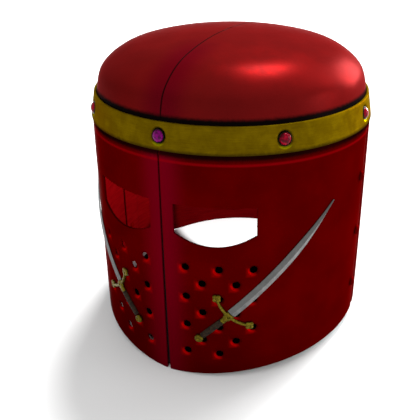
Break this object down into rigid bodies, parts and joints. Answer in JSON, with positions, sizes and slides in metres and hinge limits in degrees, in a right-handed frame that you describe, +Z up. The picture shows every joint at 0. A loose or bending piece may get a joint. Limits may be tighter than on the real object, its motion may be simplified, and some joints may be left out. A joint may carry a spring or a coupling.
{
  "type": "great helm",
  "caption": "Round closed helm of red enamelled steel plates with a domed crown, a jewelled gilt brow band, two sight openings, breath holes and an applied sword on each cheek.",
  "frame": {"origin": "on the table, under the middle of the whole helm's box", "axes": "+Z up from the table, face towards -Y, wearer's left towards +X; the helm leans back a little on its rear rim as it stands"},
  "size_m": [0.2618, 0.2768, 0.2642],
  "materials": {
    "red_enamel": "glossy red enamel over steel plate, worn at the edges",
    "gilt_brass": "brushed gilt brass",
    "dark_steel": "blackened forged steel",
    "blackened_silver": "oxidised silver setting",
    "magenta_stone": "polished magenta cabochon",
    "red_stone": "polished ruby red cabochon",
    "sword_steel": "satin steel with grinding lines along the blade",
    "hilt_brass": "dull olive brass",
    "grip_leather": "dark brown leather wound over the grip"
  },
  "bodies": {
    "root": {"crown": "red_enamel", "back_plate": "red_enamel", "front_plate_left": "red_enamel", "front_plate_right": "red_enamel", "brow_band": "gilt_brass", "seam_strap": "dark_steel", "bezel_1": "blackened_silver", "bezel_2": "blackened_silver", "bezel_3": "blackened_silver", "bezel_4": "blackened_silver", "bezel_5": "blackened_silver", "bezel_6": "blackened_silver", "bezel_7": "blackened_silver", "bezel_8": "blackened_silver", "stone_1": "magenta_stone", "stone_2": "red_stone", "stone_3": "red_stone", "stone_4": "red_stone", "stone_5": "red_stone", "stone_6": "red_stone", "stone_7": "red_stone", "stone_8": "red_stone", "side_rivet_left_1": "red_enamel", "side_rivet_left_2": "red_enamel", "side_rivet_left_3": "red_enamel", "sword_blade_left": "sword_steel", "sword_guard_left": "hilt_brass", "sword_grip_left": "grip_leather", "sword_pommel_left": "hilt_brass", "side_rivet_right_1": "red_enamel", "side_rivet_right_2": "red_enamel", "side_rivet_right_3": "red_enamel", "sword_blade_right": "sword_steel", "sword_guard_right": "hilt_brass", "sword_grip_right": "grip_leather", "sword_pommel_right": "hilt_brass"}
  },
  "joints": []
}
